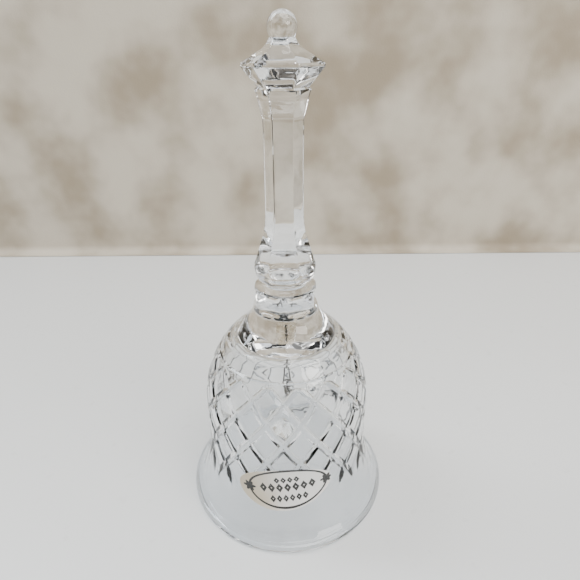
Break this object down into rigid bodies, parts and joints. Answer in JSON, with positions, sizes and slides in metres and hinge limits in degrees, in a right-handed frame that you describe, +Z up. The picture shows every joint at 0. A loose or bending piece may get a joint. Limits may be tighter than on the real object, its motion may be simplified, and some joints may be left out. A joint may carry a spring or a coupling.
{
  "type": "glass hand bell",
  "caption": "Clear cut-glass hand bell with a diamond lattice round the cup, a faceted handle with a pointed finial, and a glass bead clapper hung on a wire link.",
  "frame": {"origin": "centre of the rim's foot, on the plane the bell stands on", "axes": "+Z up along the handle, -Y towards the side with the label, +X to its right seen from the front"},
  "size_m": [0.084, 0.084, 0.1844],
  "materials": {
    "cup_glass": "clear polished lead crystal",
    "handle_glass": "clear polished lead crystal",
    "bead_glass": "clear polished lead crystal",
    "clear_cement": "clear set adhesive, slightly cloudy",
    "steel_wire": "drawn wire, darkened",
    "label_paper": null
  },
  "bodies": {
    "bell": {"bell_shell": "cup_glass", "handle_stem": "handle_glass", "anchor_cement": "clear_cement", "anchor_hook": "steel_wire", "label": "label_paper"},
    "link": {"hanger_link": "steel_wire"},
    "clapper": {"clapper_wire": "steel_wire", "bead_stop": "steel_wire"},
    "bead": {"clapper_bead": "bead_glass"}
  },
  "joints": [
    {"name": "link_swing", "type": "hinge", "parent": "bell", "child": "link", "pos_m": [0, 0, 0.0611], "axis": [1, 0, 0], "range_deg": [-22, 22]},
    {"name": "clapper_swing", "type": "hinge", "parent": "link", "child": "clapper", "pos_m": [0, 0, 0.0572], "axis": [0, 1, 0], "range_deg": [-47, 47]},
    {"name": "bead_spin", "type": "hinge", "parent": "clapper", "child": "bead", "pos_m": [0, 0, 0.029], "axis": [0, 0, 1], "continuous": true}
  ]
}
